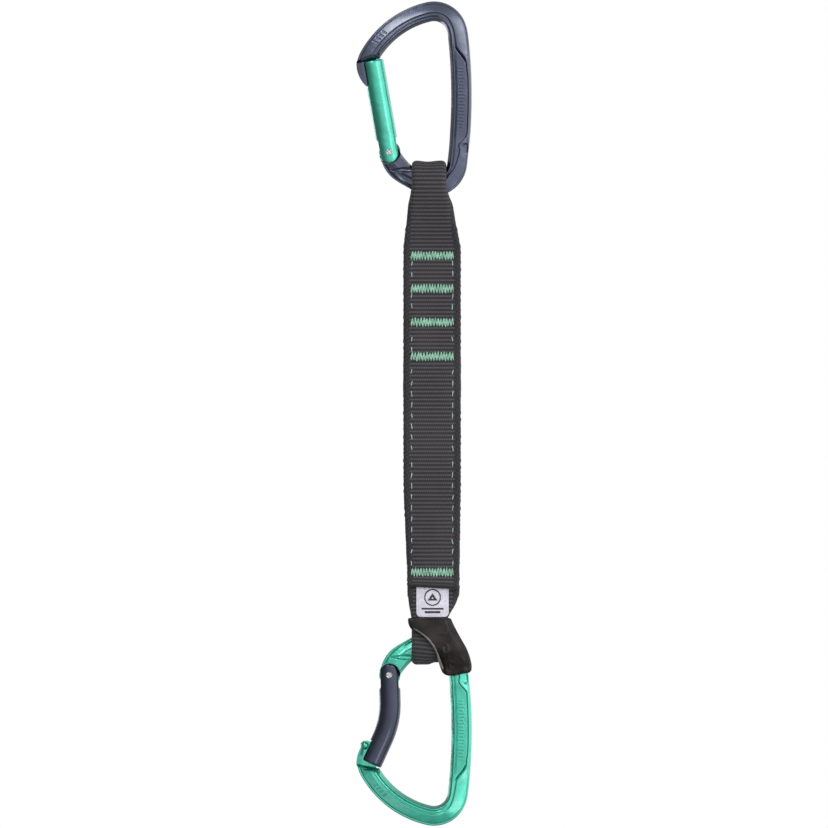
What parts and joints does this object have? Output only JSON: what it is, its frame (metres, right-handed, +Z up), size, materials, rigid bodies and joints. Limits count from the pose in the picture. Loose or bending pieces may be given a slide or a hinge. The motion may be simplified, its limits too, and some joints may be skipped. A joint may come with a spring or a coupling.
{
  "type": "climbing quickdraw",
  "caption": "Sewn webbing sling with a straight-gate carabiner at the top and a bent-gate carabiner in a rubber keeper at the bottom.",
  "frame": {"origin": "inside of the upper carabiner's crown, where it hangs on a bolt hanger", "axes": "+Z up along the sling, +X from the gates to the spines, +Y away from the front face"},
  "size_m": [0.0508, 0.0216, 0.3628],
  "materials": {
    "dark_anodised": "dark anodised, satin",
    "green_anodised": "green anodised, satin",
    "steel": "bright",
    "webbing": "woven polyamide",
    "thread": "sewing thread",
    "label": "printed woven label",
    "rubber": "moulded, soft sheen"
  },
  "bodies": {
    "upper_carabiner": {"upper_body": "dark_anodised"},
    "upper_gate_arm": {"upper_gate": "green_anodised", "upper_rivet": "steel", "upper_spring": "steel"},
    "upper_push_rod": {"upper_plunger": "steel"},
    "sling_upper": {"webbing_upper": "webbing", "bar_tack_1": "thread", "bar_tack_2": "thread", "bar_tack_3": "thread", "bar_tack_4": "thread", "stitch_upper_left": "thread", "stitch_upper_right": "thread"},
    "sling_lower": {"webbing_lower": "webbing", "bar_tack_5": "thread", "stitch_lower_left": "thread", "stitch_lower_right": "thread", "label": "label"},
    "lower_carabiner": {"lower_body": "green_anodised", "keeper": "rubber"},
    "lower_gate_arm": {"lower_gate": "dark_anodised", "lower_rivet": "steel", "lower_spring": "steel"},
    "lower_push_rod": {"lower_plunger": "steel"}
  },
  "joints": [
    {"name": "upper_gate_hinge", "type": "hinge", "parent": "upper_carabiner", "child": "upper_gate_arm", "pos_m": [-0.0194, 0, -0.0574], "axis": [0, 1, 0], "range_deg": [0, 32], "stiffness_Nm_per_rad": 0.06, "springref_deg": -45.84},
    {"name": "upper_push_rod_slide", "type": "slide", "parent": "upper_gate_arm", "child": "upper_push_rod", "axis": [-0.1736, 0, 0.9848], "range_m": [0, 0.000567], "deforming": ["upper_spring"]},
    {"name": "sling_swing", "type": "hinge", "parent": "upper_carabiner", "child": "sling_upper", "pos_m": [0, 0, -0.0709], "axis": [1, 0, 0], "range_deg": [-90, 90]},
    {"name": "sling_bend", "type": "hinge", "parent": "sling_upper", "child": "sling_lower", "pos_m": [0, 0, -0.1925], "axis": [1, 0, 0], "range_deg": [-50, 50]},
    {"name": "lower_carabiner_tilt", "type": "hinge", "parent": "sling_lower", "child": "lower_carabiner", "pos_m": [0, 0, -0.2741], "axis": [1, 0, 0], "range_deg": [-25, 25], "stiffness_Nm_per_rad": 0.05, "deforming": ["keeper"]},
    {"name": "lower_gate_hinge", "type": "hinge", "parent": "lower_carabiner", "child": "lower_gate_arm", "pos_m": [-0.0194, 0, -0.2876], "axis": [0, -1, 0], "range_deg": [0, 32], "stiffness_Nm_per_rad": 0.06, "springref_deg": -45.84},
    {"name": "lower_push_rod_slide", "type": "slide", "parent": "lower_gate_arm", "child": "lower_push_rod", "axis": [0.0262, 0, -0.9997], "range_m": [0, 0.000567], "deforming": ["lower_spring"]}
  ],
  "couplings": [
    {"joint": "upper_push_rod_slide", "follows": "upper_gate_hinge", "m_per_rad": 0.00098},
    {"joint": "lower_push_rod_slide", "follows": "lower_gate_hinge", "m_per_rad": 0.00098}
  ]
}
